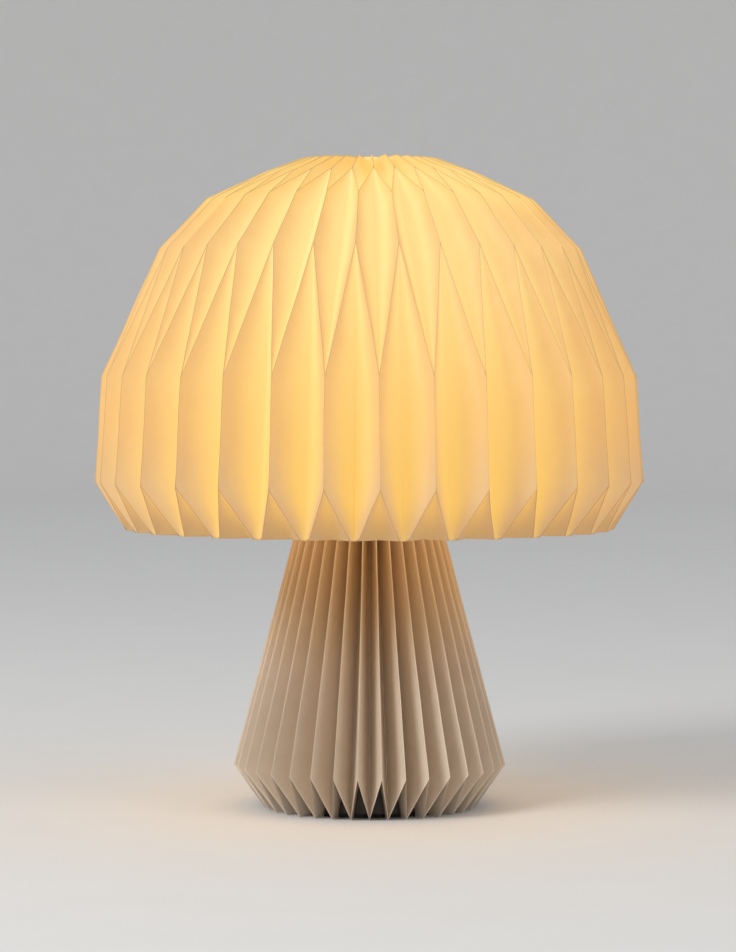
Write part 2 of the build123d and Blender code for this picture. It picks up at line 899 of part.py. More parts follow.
make_shade()
make_vent_collar()
make_column()
make_column_cap()
make_foot_pad()
make_ballast_plate()
make_base_pan()
make_inlet_grommet()
make_posts()
make_plate_screws()
make_pan_screws()
make_pipe()
make_nuts()
make_washers()
make_terminal_block()
make_block_screws()
make_inner_lead()
make_core_wires()
make_holder_cap()
make_holder_shell()
make_holder_insert()
make_screw_shell()
make_centre_contact()
make_terminal_screws()
make_clamp_ring()
make_switch_body()
make_switch_knob()
make_bulb_cap()
make_bulb_insulator()
make_bulb_contact()
make_bulb_neck()
make_bulb_globe()
make_led_board()
make_led_chips()
make_shade_carrier()
print("crown", round(crown_height, 1), "rim", round(crown_height - rim_drop, 1))
print("hoop radius", round(hoop_radius, 1))
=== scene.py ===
"""A pleated paper table lamp: its papers, its metal and plastic parts and their finishes.

All lengths are metres in the lamp's own frame: it stands on z = 0 with its axis on Z and faces -Y.
Angles called bearings are counted in degrees from the front, positive towards +X.
"""

from math import cos, pi, radians, sin, sqrt, tau

import bmesh
import bpy
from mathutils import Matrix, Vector


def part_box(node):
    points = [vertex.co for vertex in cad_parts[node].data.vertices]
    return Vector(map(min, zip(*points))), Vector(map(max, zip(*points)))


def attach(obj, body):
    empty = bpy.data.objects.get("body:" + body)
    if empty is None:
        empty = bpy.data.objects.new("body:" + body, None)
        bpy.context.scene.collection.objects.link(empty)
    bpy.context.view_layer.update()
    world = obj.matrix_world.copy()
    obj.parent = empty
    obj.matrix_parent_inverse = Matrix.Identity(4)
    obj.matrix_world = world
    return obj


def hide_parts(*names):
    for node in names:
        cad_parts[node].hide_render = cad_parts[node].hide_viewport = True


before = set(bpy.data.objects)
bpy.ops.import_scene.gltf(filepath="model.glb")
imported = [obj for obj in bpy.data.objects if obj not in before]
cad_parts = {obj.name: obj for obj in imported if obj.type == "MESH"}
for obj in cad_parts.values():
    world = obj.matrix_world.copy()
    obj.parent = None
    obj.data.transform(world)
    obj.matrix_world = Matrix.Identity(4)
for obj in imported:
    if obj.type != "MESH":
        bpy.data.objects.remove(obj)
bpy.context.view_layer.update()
mm = 0.001


# Camera: about 1.6 m in front of the lamp and level with the shade's lower half, looking slightly
# down through a long lens. The picture is 736 by 952 pixels.
picture_width = 736
focal_pixels = 3087
axis_pixels_right = 1.54
sensor_width = 36.0
camera_distance = 1.5936
camera_height = 0.2226
camera_pitch = 1.86

lens = bpy.data.cameras.new("camera")
lens.sensor_fit = "HORIZONTAL"
lens.sensor_width = sensor_width
lens.lens = sensor_width * focal_pixels / picture_width
lens.shift_x = -axis_pixels_right / picture_width
camera = bpy.data.objects.new("camera", lens)
camera.location = (0, -camera_distance, camera_height)
camera.rotation_euler = (radians(90 - camera_pitch), 0, 0)
bpy.context.scene.collection.objects.link(camera)
bpy.context.scene.camera = camera
bpy.context.scene.view_settings.view_transform = "Standard"


# Foot: a black foam pad under a blacked cast iron plate, in a pan pressed from sheet steel and
# enamelled dark, painted shade for the gaps between the paper's points. Three hexagonal posts and
# six screws hold the pan to the plate.
class Value:
    """An output socket with a number in it. Arithmetic on it adds Math nodes."""

    def __init__(self, finish, socket):
        self.finish = finish
        self.socket = socket

    def math(self, operation, *inputs):
        return self.finish.node("Math", {"operation": operation}, dict(enumerate(inputs)))

    def __add__(self, other):
        return self.math("ADD", self, other)

    def __sub__(self, other):
        return self.math("SUBTRACT", self, other)

    def __rsub__(self, other):
        return self.math("SUBTRACT", other, self)

    def __mul__(self, other):
        return self.math("MULTIPLY", self, other)

    __radd__ = __add__
    __rmul__ = __mul__

    def step(self, low, high):
        """0 up to low, 1 from high on and a smooth step between."""
        settings = {"interpolation_type": "SMOOTHSTEP"}
        return self.finish.node("MapRange", settings, {"Value": self, "From Min": low, "From Max": high})


class Finish:
    """A procedural material with one Principled shader at its end."""

    def __init__(self, name, color, roughness, metallic=0.0):
        self.material = bpy.data.materials.new(name)
        self.material.use_nodes = True
        self.tree = self.material.node_tree
        self.shader = self.tree.nodes["Principled BSDF"]
        self.set({"Base Color": color, "Roughness": roughness, "Metallic": metallic})
        self.place = self.node("TexCoord", {}, {}, "Object")

    def connect(self, node, inputs):
        for key, value in inputs.items():
            if isinstance(value, Value):
                self.tree.links.new(value.socket, node.inputs[key])
            elif isinstance(value, tuple) and node.inputs[key].type == "RGBA":
                node.inputs[key].default_value = (*value, 1.0)
            else:
                node.inputs[key].default_value = value

    def node(self, kind, settings, inputs, output=0):
        """A shader node of a type, with its settings made first and then its sockets' values."""
        node = self.tree.nodes.new("ShaderNode" + kind)
        for key, value in settings.items():
            setattr(node, key, value)
        self.connect(node, inputs)
        return Value(self, node.outputs[output])

    def set(self, inputs):
        self.connect(self.shader, inputs)

    def mix(self, share, first, second):
        """A colour between two colours."""
        return self.node("Mix", {"data_type": "RGBA"}, {0: share, 6: first, 7: second}, 2)

    def noise(self, per_metre, detail=2.0, stretch=(1, 1, 1)):
        """Cloudy noise from 0 to 1 in the piece's own space."""
        place = self.node("Mapping", {}, {"Vector": self.place, "Scale": stretch})
        return self.node("TexNoise", {}, {"Vector": place, "Scale": per_metre, "Detail": detail})

    def cells(self, per_metre):
        """How far each point lies from the middle of its cell, in cells."""
        return self.node("TexVoronoi", {}, {"Vector": self.place, "Scale": per_metre})

    def axis(self, letter):
        return self.node("SeparateXYZ", {}, {"Vector": self.place}, letter)

    def attribute(self, name):
        return self.node("Attribute", {"attribute_name": name}, {}, "Fac")

    def bump(self, height, depth):
        """Raise the surface by a height of 0 to 1 times a depth in metres."""
        self.set({"Normal": self.node("Bump", {}, {"Height": height, "Distance": depth})})


def dress(finish, *names):
    """Give CAD nodes a finish."""
    for name in names:
        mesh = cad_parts[name].data
        mesh.materials.clear()
        mesh.materials.append(finish.material)


foam = Finish("black foam", (0.025, 0.025, 0.027), 0.95)
pores = foam.cells(900)
foam.set({"Base Color": foam.mix(pores, (0.018, 0.018, 0.019), (0.045, 0.045, 0.048))})
foam.bump(pores, 0.2 * mm)
dress(foam, "foot_pad")

iron = Finish("blacked cast iron", (0.05, 0.05, 0.055), 0.6, 0.7)
skin = iron.noise(700, 4.0)
bloom = iron.noise(60, 3.0).step(0.52, 0.75)
iron.set({"Base Color": iron.mix(bloom, (0.05, 0.05, 0.053), (0.10, 0.075, 0.06))})
iron.set({"Roughness": 0.5 + 0.3 * skin})
iron.bump(skin, 0.25 * mm)
dress(iron, "ballast_plate")

cream_paint = Finish("cream paint", (0.70, 0.64, 0.54), 0.42)
orange_peel = cream_paint.noise(450, 1.0)
drift = cream_paint.noise(30, 3.0)
cream_paint.set({"Base Color": cream_paint.mix(drift, (0.68, 0.62, 0.52), (0.73, 0.67, 0.57))})
cream_paint.set({"Roughness": 0.36 + 0.14 * drift})
cream_paint.bump(orange_peel, 0.06 * mm)
dress(cream_paint, "column_cap")

# Painted shade: the pan's enamel is made nearly black so that the gaps between the column's paper points
# read as shade.
enamel = Finish("dark enamel painted as shade", (0.07, 0.052, 0.04), 0.5)
enamel_drift = enamel.noise(40, 3.0)
enamel.set({"Base Color": enamel.mix(enamel_drift, (0.062, 0.046, 0.035), (0.085, 0.064, 0.050))})
enamel.set({"Roughness": 0.38 + 0.16 * enamel_drift})
enamel.bump(enamel.noise(450, 1.0), 0.05 * mm)
dress(enamel, "base_pan")

zinc = Finish("zinc plate", (0.62, 0.62, 0.60), 0.35, 1.0)
spangle = zinc.cells(300)
dulling = zinc.noise(90, 4.0)
zinc.set({"Base Color": zinc.mix(dulling, (0.66, 0.65, 0.60), (0.52, 0.55, 0.58))})
zinc.set({"Roughness": 0.25 + 0.2 * dulling + 0.1 * spangle})
zinc.bump(zinc.noise(1600, 2.0), 0.02 * mm)
dress(zinc, "pan_posts", "plate_screws", "pan_screws", "pipe_nuts", "pipe_washers")


# Inlet and wiring: a black rubber bush in the pan's rear edge, a terminal block on the plate with
# brass screws, a white sheathed lead up the pipe and its brown and blue cores in the lampholder.
rubber = Finish("black rubber", (0.03, 0.03, 0.032), 0.7)
dust = rubber.noise(120, 4.0)
rubber.set({"Base Color": rubber.mix(dust, (0.022, 0.022, 0.024), (0.05, 0.049, 0.048))})
rubber.set({"Roughness": 0.6 + 0.25 * dust})
rubber.bump(rubber.noise(1200, 2.0), 0.03 * mm)
dress(rubber, "inlet_grommet")

phenolic = Finish("black moulding", (0.02, 0.02, 0.021), 0.38)
flow = phenolic.noise(140, 4.0)
phenolic.set({"Base Color": phenolic.mix(flow, (0.016, 0.016, 0.017), (0.032, 0.031, 0.030))})
phenolic.set({"Roughness": 0.3 + 0.2 * flow})
phenolic.bump(phenolic.noise(2200, 2.0), 0.015 * mm)
dress(phenolic, "terminal_block", "holder_cap", "clamp_ring", "switch_body", "switch_knob")

brass = Finish("brass", (0.72, 0.50, 0.20), 0.3, 1.0)
tarnish = brass.noise(160, 4.0)
brass.set({"Base Color": brass.mix(tarnish.step(0.45, 0.8), (0.78, 0.56, 0.24), (0.48, 0.32, 0.14))})
brass.set({"Roughness": 0.2 + 0.25 * tarnish})
brass.bump(brass.noise(1800, 2.0), 0.01 * mm)
dress(brass, "block_screws", "centre_contact", "terminal_screws")

sheath = Finish("white sheath", (0.78, 0.77, 0.73), 0.5)
grime = sheath.noise(200, 3.0)
sheath.set({"Base Color": sheath.mix(grime, (0.80, 0.79, 0.75), (0.70, 0.68, 0.63))})
sheath.bump(grime, 0.03 * mm)
dress(sheath, "inner_lead")

core_skin = Finish("brown and blue cores", (0.2, 0.1, 0.05), 0.45)
blue_side = core_skin.axis("Y").step(-0.1 * mm, 0.1 * mm)
core_skin.set({"Base Color": core_skin.mix(blue_side, (0.22, 0.09, 0.035), (0.05, 0.14, 0.42))})
core_skin.bump(core_skin.noise(900, 2.0), 0.01 * mm)
dress(core_skin, "core_wires")


# Threaded pipe: an M10 steel pipe, threaded from end to end, that ties the foot, the paper column
# and the lampholder together. It is turned here with its thread, of 1 mm pitch.
def spun(name, outline, threads, around, finish):
    """A closed shape spun round the axis from an outline of (radius, height) points. Where a height
    lies in a thread's range, the radius follows the thread: (low, high, pitch, depth, side)."""
    build = bmesh.new()
    rings = []
    for turn in range(around):
        angle = tau * turn / around
        ring = []
        for radius, height in outline:
            for low, high, pitch, depth, near in threads:
                if low < height < high and abs(radius - near) < depth:
                    fade = min(1.0, (height - low) / pitch, (high - height) / pitch)
                    wave = (1 + cos(tau * height / pitch - angle)) / 2
                    radius -= depth * fade * wave
            ring.append(build.verts.new((radius * cos(angle), radius * sin(angle), height)))
        rings.append(ring)
    for here, there in zip(rings, rings[1:] + rings[:1]):
        for n in range(len(outline)):
            m = (n + 1) % len(outline)
            build.faces.new((here[n], there[n], there[m], here[m])).smooth = True
    bmesh.ops.remove_doubles(build, verts=build.verts, dist=0.001 * mm)
    bmesh.ops.recalc_face_normals(build, faces=build.faces)
    for edge in build.edges:
        edge.smooth = len(edge.link_faces) < 2 or edge.calc_face_angle(0) < radians(40)
    mesh = bpy.data.meshes.new(name)
    build.to_mesh(mesh)
    build.free()
    mesh.materials.append(finish.material)
    piece = bpy.data.objects.new(name, mesh)
    bpy.context.scene.collection.objects.link(piece)
    return piece


def wall(radius, low, high, step):
    """Outline points up or down a straight wall, close enough together to carry a thread."""
    count = max(1, round(abs(high - low) / step))
    return [(radius, low + (high - low) * n / count) for n in range(count + 1)]


pipe_low, pipe_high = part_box("threaded_pipe")
pipe_radius = pipe_high.x
pipe_bore = 3.6 * mm
pipe_thread = (pipe_low.z, pipe_high.z, 1.0 * mm, 0.5 * mm, pipe_radius)
pipe_outline = wall(pipe_radius, pipe_low.z, pipe_high.z, 0.25 * mm)
pipe_outline += [(pipe_bore, pipe_high.z), (pipe_bore, pipe_low.z)]
pipe = spun("pipe", pipe_outline, [pipe_thread], 24, zinc)
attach(pipe, "base")
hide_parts("threaded_pipe")


# Column paper: two sheets of heavy cream paper, scored and folded by hand into 18 pleats each and
# taped together. The outer folds fork at the bottom into points that stand on the table.
def turned(radius, height, bearing):
    """A point at a radius and a height, turned to its bearing round the lamp's axis."""
    angle = radians(bearing)
    return Vector((radius * sin(angle), -radius * cos(angle), height))


def distance(point, start, end):
    """How far a point lies from the stretch between two others."""
    along = end - start
    share = (point - start).dot(along) / max(along.length_squared, 1e-12)
    return (point - start - along * min(max(share, 0.0), 1.0)).length


def knee(start, bend, end, share, bend_share):
    """A point on a line that follows a cut edge first and turns into a fold at the bend."""
    if share < bend_share:
        return start.lerp(bend, share / bend_share)
    return bend.lerp(end, (share - bend_share) / (1 - bend_share))


def folded_pleat(name, rib, groove, outer, half_pitch, rows, columns, bow, blunt):
    """A mesh of one pleat, from groove to rib to groove. Its panels lie between the points of both
    lines. outer says which line is the outer fold of each panel, R for the rib or G for the groove,
    and where that changes the outer folds fork across from one line to the other.

    bow is how much the panels curve in between their folds. blunt is how far from the groove the
    last fork meets the cut edge, or 0 where the paper ends in sharp points. The groove is pressed
    out flat behind a blunt tip. rows and columns are how finely each panel is divided.
    """
    build = bmesh.new()
    valley_layer = build.verts.layers.float.new("valley")
    crease_layer = build.verts.layers.float.new("crease")
    under_layer = build.faces.layers.float.new("underside")
    panels = len(outer)
    shares = [(1 - cos(pi * n / columns)) / 2 for n in range(columns + 1)]
    blunt_share = shares[2]
    soft_reach = 4 * mm
    for side in (-1, 1):
        ribs = [turned(*point, 0) for point in rib]
        grooves = [turned(*point, side * half_pitch) for point in groove]
        level = (ribs[-2].z - grooves[-3].z) / (grooves[-2].z - grooves[-3].z)
        tip = grooves[-1] + (ribs[-2] - grooves[-3].lerp(grooves[-2], level)).normalized() * blunt
        for panel in range(panels):
            run = [n for n in range(panels) if len(set(outer[min(n, panel):max(n, panel) + 1])) == 1]
            on_rib = outer[panel] == "R"
            ridge, hollow = (ribs, grooves) if on_rib else (grooves, ribs)
            forks = [n for n in (panel, panel + 1) if 0 < n < panels and outer[n] != outer[n - 1]]
            ends = [tip if blunt and n == panels - 1 else grooves[n] for n in forks]
            folds = [(ridge[n], ridge[n + 1]) for n in run]
            folds += [(end, ribs[n]) for end, n in zip(ends, forks)]
            hollows = [(hollow[n], hollow[n + 1]) for n in run]
            slope = (ribs[panel + 1] - grooves[panel]).cross(ribs[panel] - grooves[panel + 1])
            normal = slope.normalized() * -side
            across = turned(1, 0, 90 + (side * half_pitch if on_rib else 0))
            lift = (normal - across * normal.dot(across)).normalized()
            grid = []
            for row in range(rows[panel] + 1):
                down = (1 - cos(pi * row / rows[panel])) / 2
                crest = ridge[panel].lerp(ridge[panel + 1], down)
                width = (crest - hollow[panel].lerp(hollow[panel + 1], down)).length
                opening = min(1.0, crest.xy.length * sin(radians(half_pitch)) / max(width, 1e-6))
                free = 1 - down ** 3 if blunt and panel == panels - 1 else 1.0
                line = []
                for share in shares:
                    high, low = [grooves[n].lerp(ribs[n], share) for n in (panel, panel + 1)]
                    if blunt and panel >= panels - 2:
                        low = knee(grooves[-1], tip, ribs[panel + 1], share, blunt_share)
                    if blunt and panel == panels - 1:
                        high = knee(grooves[-1], tip, ribs[panel], share, blunt_share)
                    flat = high.lerp(low, down)
                    pressed = Vector((0, 0, 0))
                    if blunt and (panel == panels - 2 or panel == panels - 1 and share < blunt_share):
                        from_fold = distance(flat, tip, ribs[-2])
                        from_groove = distance(flat, grooves[-3], grooves[-1])
                        reach = 0.5 * blunt * from_fold / max(from_fold + from_groove, 1e-6)
                        reach *= max(0.0, 1 - (flat - grooves[-1]).length / (5 * blunt)) ** 2
                        pressed = turned(reach, 0, side * half_pitch)
                    near = min(distance(flat, *fold) for fold in folds)
                    deep = min(distance(flat, *fold) for fold in hollows)
                    curve = bow * opening * free * near * deep / max(near + deep, 1e-6)
                    soft = max(0.0, 1 - deep / soft_reach) ** 2 * min(1.0, near / soft_reach)
                    soft *= 0.25 * soft_reach * opening * free
                    vert = build.verts.new(flat - normal * curve + lift * soft + pressed)
                    vert[valley_layer] = near / max(near + deep, 1e-6)
                    vert[crease_layer] = near
                    line.append(vert)
                grid.append(line)
            for upper, lower in zip(grid, grid[1:]):
                for here in range(columns):
                    loop = [upper[here], lower[here], lower[here + 1], upper[here + 1]]
                    face = build.faces.new(loop if side < 0 else loop[::-1])
                    face[under_layer] = float(blunt > 0 and panel == panels - 1)
                    face.smooth = True
    bmesh.ops.remove_doubles(build, verts=build.verts, dist=0.002 * mm)
    bmesh.ops.dissolve_degenerate(build, dist=0.001 * mm, edges=build.edges)
    for edge in build.edges:
        edge.smooth = max(vert[crease_layer] for vert in edge.verts) > 0.001 * mm
    mesh = bpy.data.meshes.new(name)
    build.to_mesh(mesh)
    build.free()
    return mesh


def pleating_tree():
    """The node tree that sets pleats side by side round the axis and leaves them a little uneven."""
    tree = bpy.data.node_groups.new("pleats side by side", "GeometryNodeTree")
    tree.is_modifier = True
    sockets = [("Pleat", "Geometry"), ("Pleats", "Int"), ("Pitch", "Float"), ("First bearing", "Float"),
               ("Unevenness", "Float"), ("Gathered radius", "Float"), ("Waves per metre", "Float"),
               ("Seed", "Float"), ("Paper", "Material")]
    for name, kind in sockets:
        tree.interface.new_socket(name, in_out="INPUT", socket_type="NodeSocket" + kind)
    tree.interface.new_socket("Sheet", in_out="OUTPUT", socket_type="NodeSocketGeometry")
    given = tree.nodes.new("NodeGroupInput").outputs

    def add(kind, inputs, output=0, **settings):
        node = tree.nodes.new(kind)
        for key, value in settings.items():
            setattr(node, key, value)
        for key, value in inputs.items():
            if isinstance(value, bpy.types.NodeSocket):
                tree.links.new(value, node.inputs[key])
            else:
                node.inputs[key].default_value = value
        return node.outputs[output]

    places = add("GeometryNodeMeshLine", {"Count": given["Pleats"], "Offset": (0, 0, 0)})
    number = add("GeometryNodeInputIndex", {})
    turns = add("ShaderNodeMath", {0: number, 1: given["Pitch"], 2: given["First bearing"]},
                operation="MULTIPLY_ADD")
    spin = add("ShaderNodeCombineXYZ", {"Z": turns})
    placed = add("GeometryNodeInstanceOnPoints",
                 {"Points": places, "Instance": given["Pleat"], "Rotation": spin})
    single = add("GeometryNodeRealizeInstances", {0: placed})
    joined = add("GeometryNodeMergeByDistance", {0: single, "Distance": 0.01 * mm})
    wander = add("ShaderNodeTexNoise", {"W": given["Seed"], "Scale": given["Waves per metre"]}, "Color",
                 noise_dimensions="4D")
    centred = add("ShaderNodeVectorMath", {0: wander, 1: (0.5, 0.5, 0.5)}, operation="SUBTRACT")
    position = add("GeometryNodeInputPosition", {})
    where = add("ShaderNodeVectorMath", {0: position, 1: (1, 1, 0)}, operation="MULTIPLY")
    out = add("ShaderNodeVectorMath", {0: where}, "Value", operation="LENGTH")
    gather = add("ShaderNodeMapRange", {"Value": out, "From Min": 0.0, "From Max": given["Gathered radius"],
                                        "To Min": 2.2, "To Max": 1.0}, interpolation_type="SMOOTHSTEP")
    amount = add("ShaderNodeMath", {0: given["Unevenness"], 1: gather}, operation="MULTIPLY")
    drift = add("ShaderNodeVectorMath", {0: centred, "Scale": amount}, operation="SCALE")
    moved = add("GeometryNodeSetPosition", {"Geometry": joined, "Offset": drift})
    solid = add("GeometryNodeRealizeInstances", {0: moved})
    painted = add("GeometryNodeSetMaterial", {"Geometry": solid, "Material": given["Paper"]})
    tree.links.new(painted, tree.nodes.new("NodeGroupOutput").inputs[0])
    return tree


pleating = pleating_tree()


def pleated_sheet(name, pleat, values, thickness):
    """One sheet of paper: the pleat repeated by the node tree, then given its thickness."""
    piece = bpy.data.objects.new(name, pleat)
    bpy.context.scene.collection.objects.link(piece)
    modifier = piece.modifiers.new("pleats", "NODES")
    modifier.node_group = pleating
    for socket in pleating.interface.items_tree:
        if socket.in_out == "INPUT" and socket.name in values:
            modifier[socket.identifier] = values[socket.name]
    wall = piece.modifiers.new("thickness", "SOLIDIFY")
    wall.thickness = thickness
    wall.offset = -1
    bpy.context.view_layer.update()
    evaluated = piece.evaluated_get(bpy.context.evaluated_depsgraph_get())
    mesh = bpy.data.meshes.new_from_object(evaluated)
    piece.modifiers.clear()
    piece.data = mesh
    return piece


column_finish = Finish("column paper", (0.68, 0.55, 0.42), 0.85)
column_tone = column_finish.mix(column_finish.noise(120, 3.0), (0.62, 0.52, 0.41), (0.71, 0.60, 0.49))
# Painted light: the hollows between the folds are tinted a little warmer, and a thin line along each outer
# fold is painted lighter as a highlight.
column_valley = column_finish.attribute("valley")
column_tone = column_finish.mix(0.2 * column_valley, column_tone, (0.70, 0.55, 0.41))
painted_fold_highlight = 1 - column_finish.attribute("crease").step(0.2 * mm, 0.9 * mm)
column_tone = column_finish.mix(0.6 * painted_fold_highlight, column_tone, (0.84, 0.74, 0.62))
# Painted light: the upper column is tinted amber, standing in for the warm light that spills onto it from
# under the lit shade.
painted_lamp_glow = column_finish.axis("Z").step(0.06, 0.13)
column_finish.set({"Base Color": column_finish.mix(0.42 * painted_lamp_glow, column_tone, (0.74, 0.50, 0.20))})
column_finish.bump(column_finish.noise(1500, 3.0, (1, 1, 0.35)), 0.06 * mm)

column_pleats = 36
column_sheets = 2
column_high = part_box("column_sheet_1")[1].z
column_corner = [(35.2 * mm, column_high), (70.3 * mm, 22.2 * mm), (46 * mm, 20.5 * mm)]
column_tip = [(15.7 * mm, column_high), (54.8 * mm, 0.15 * mm), (46 * mm, 0.15 * mm)]
column_half = 180 / column_pleats
column_pleat = folded_pleat("column pleat", column_corner, column_tip, "RG", column_half,
                            rows=(14, 5), columns=8, bow=0.4, blunt=0)
for number in range(column_sheets):
    sheet = pleated_sheet(f"column_paper_{number + 1}", column_pleat, {
        "Pleats": column_pleats // column_sheets,
        "Pitch": radians(2 * column_half),
        "First bearing": radians(90 + 180 * number + column_half),
        "Unevenness": 0.7 * mm,
        "Gathered radius": 20 * mm,
        "Waves per metre": 40.0,
        "Seed": 9.0,
        "Paper": column_finish.material,
    }, 0.3 * mm)
    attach(sheet, "base")
    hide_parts(f"column_sheet_{number + 1}")

tape_finish = Finish("paper tape", (0.66, 0.58, 0.46), 0.8)
tape_clouds = tape_finish.noise(300, 3.0)
tape_finish.set({"Base Color": tape_finish.mix(tape_clouds, (0.62, 0.54, 0.42), (0.70, 0.62, 0.50))})
tape_finish.bump(tape_finish.noise(1500, 2.0), 0.04 * mm)
dress(tape_finish, "column_seam_tape_1", "column_seam_tape_2")


# Lampholder: a black moulded cap and shell, turned here with the shell's coarse outer thread, a
# porcelain insert and a rolled brass screw shell. A fluted ring clamps the wire carrier to it.
porcelain = Finish("porcelain", (0.80, 0.77, 0.71), 0.35)
specks = porcelain.cells(700).step(0.0, 0.22)
porcelain.set({"Base Color": porcelain.mix(specks, (0.55, 0.47, 0.38), (0.82, 0.79, 0.73))})
porcelain.set({"Coat Weight": 0.2 + 0.3 * porcelain.noise(100)})
porcelain.bump(porcelain.noise(400, 2.0), 0.04 * mm)
dress(porcelain, "holder_insert")

shell_low, shell_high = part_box("holder_shell")
ring_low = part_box("clamp_ring")[0].z
flange_radius = shell_high.x
shell_radius = 20 * mm
shell_bore = shell_radius - 1.8 * mm
flange_top = ring_low - 1.4 * mm
flange_low = flange_top - 2 * mm
thread_step = 0.4 * mm
shell_outline = wall(shell_radius, shell_low.z, flange_low, 2 * mm) + [
    (flange_radius - 0.4 * mm, flange_low),
    (flange_radius, flange_low + 0.4 * mm),
    (flange_radius, flange_top - 0.4 * mm),
    (flange_radius - 0.4 * mm, flange_top),
] + wall(shell_radius, flange_top, shell_high.z, thread_step) + [
    (shell_bore, shell_high.z),
    (shell_bore, shell_low.z),
]
shell_thread = (flange_top + 1 * mm, shell_high.z, 2.5 * mm, 0.7 * mm, shell_radius)
shell = spun("lampholder_shell", shell_outline, [shell_thread], 72, phenolic)
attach(shell, "base")
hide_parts("holder_shell")

socket_low, socket_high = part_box("screw_shell")
socket_wall = 0.5 * mm
socket_outer = socket_high.x
socket_lip = 12 * mm
socket_outline = [(socket_lip, socket_low.z)] + wall(socket_outer, socket_low.z, socket_high.z, thread_step)
socket_outline += wall(socket_outer - socket_wall, socket_high.z, socket_low.z + socket_wall, thread_step)
socket_outline.append((socket_lip, socket_low.z + socket_wall))
socket_thread = (socket_low.z + 2 * mm, socket_high.z, 3.62 * mm, 0.05 * mm, socket_outer)
socket = spun("socket_screw_shell", socket_outline, [socket_thread], 72, brass)
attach(socket, "base")
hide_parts("screw_shell")


# Bulb: a nickel screw cap rolled with the standard 3.62 mm thread, black glass round the contact, a
# white moulded neck and an opal globe over a ring of LEDs.
nickel = Finish("nickel plate", (0.70, 0.68, 0.65), 0.22, 1.0)
handling = nickel.noise(180, 4.0)
nickel.set({"Base Color": nickel.mix(handling, (0.74, 0.72, 0.69), (0.60, 0.58, 0.54))})
nickel.set({"Roughness": 0.16 + 0.25 * handling})
nickel.bump(nickel.noise(1500, 2.0), 0.01 * mm)
dress(nickel, "bulb_contact")

cap_low, cap_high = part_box("bulb_cap")
cap_radius = cap_high.x
cap_wall = 0.5 * mm
cap_floor = 6 * mm
cap_thread = (cap_low.z + 1.5 * mm, cap_high.z - 3 * mm, 3.62 * mm, 1.1 * mm, cap_radius)
cap_outline = [(cap_floor, cap_low.z), (cap_radius - 1.5 * mm, cap_low.z)]
cap_outline += wall(cap_radius, cap_low.z + 1 * mm, cap_high.z, thread_step)
cap_outline += [(cap_radius - 1.8 * mm, cap_high.z), (cap_radius - 1.8 * mm, cap_low.z + 2 * mm)]
cap_outline += [(cap_floor, cap_low.z + cap_wall)]
cap = spun("bulb_screw_cap", cap_outline, [cap_thread], 72, nickel)
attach(cap, "bulb")
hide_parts("bulb_cap")

black_glass = Finish("black glass", (0.01, 0.01, 0.012), 0.1)
black_glass.set({"Roughness": 0.06 + 0.12 * black_glass.noise(300, 3.0)})
dress(black_glass, "bulb_insulator")

white_moulding = Finish("white moulding", (0.82, 0.81, 0.78), 0.35)
sheen = white_moulding.noise(150, 3.0)
white_moulding.set({"Base Color": white_moulding.mix(sheen, (0.80, 0.79, 0.76), (0.84, 0.83, 0.81))})
white_moulding.set({"Roughness": 0.3 + 0.15 * sheen})
white_moulding.bump(white_moulding.noise(1500, 2.0), 0.02 * mm)
dress(white_moulding, "bulb_neck", "led_board")

opal = Finish("lit opal glass", (0.45, 0.40, 0.33), 0.3)
globe_low, globe_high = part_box("bulb_globe")
lit = opal.axis("Z").step(globe_low.z - 5 * mm, globe_low.z + 28 * mm)
veil = opal.noise(45, 2.0)
lit_tone = opal.mix(veil, (0.98, 0.72, 0.42), (1.0, 0.80, 0.52))
opal.set({"Emission Color": opal.mix(lit, (0.50, 0.30, 0.13), lit_tone), "Emission Strength": 0.8})
opal.set({"Roughness": 0.25 + 0.2 * opal.noise(400, 3.0), "Coat Weight": 0.3})
opal.bump(opal.noise(250, 1.0), 0.02 * mm)
dress(opal, "bulb_globe")

phosphor = Finish("phosphor", (0.85, 0.66, 0.12), 0.4)
grain = phosphor.noise(2500, 2.0)
phosphor.set({"Base Color": phosphor.mix(grain, (0.80, 0.60, 0.10), (0.90, 0.74, 0.20))})
phosphor.set({"Emission Color": phosphor.mix(grain, (1.0, 0.75, 0.35), (1.0, 0.85, 0.5))})
phosphor.set({"Emission Strength": 2.0})
dress(phosphor, "led_chips")


# Wire carrier: a pressed collar, three arms and a hoop of steel wire, welded and coated white. The
# shade's roof folds rest on the hoop.
powder_coat = Finish("white powder coat", (0.80, 0.78, 0.74), 0.5)
peel = powder_coat.noise(700, 2.0)
handled = powder_coat.noise(60, 3.0)
powder_coat.set({"Base Color": powder_coat.mix(handled, (0.78, 0.76, 0.72), (0.83, 0.81, 0.77))})
powder_coat.set({"Roughness": 0.42 + 0.2 * peel})
powder_coat.bump(peel, 0.06 * mm)
dress(powder_coat, "shade_carrier")


# Shade paper: six sheets of thin cream paper, scored and folded by hand into five or six pleats each
# and taped together. Light comes through it, most in the grooves and least at the folds.
glow_paper = Finish("lit shade paper", (0.40, 0.30, 0.13), 0.75)
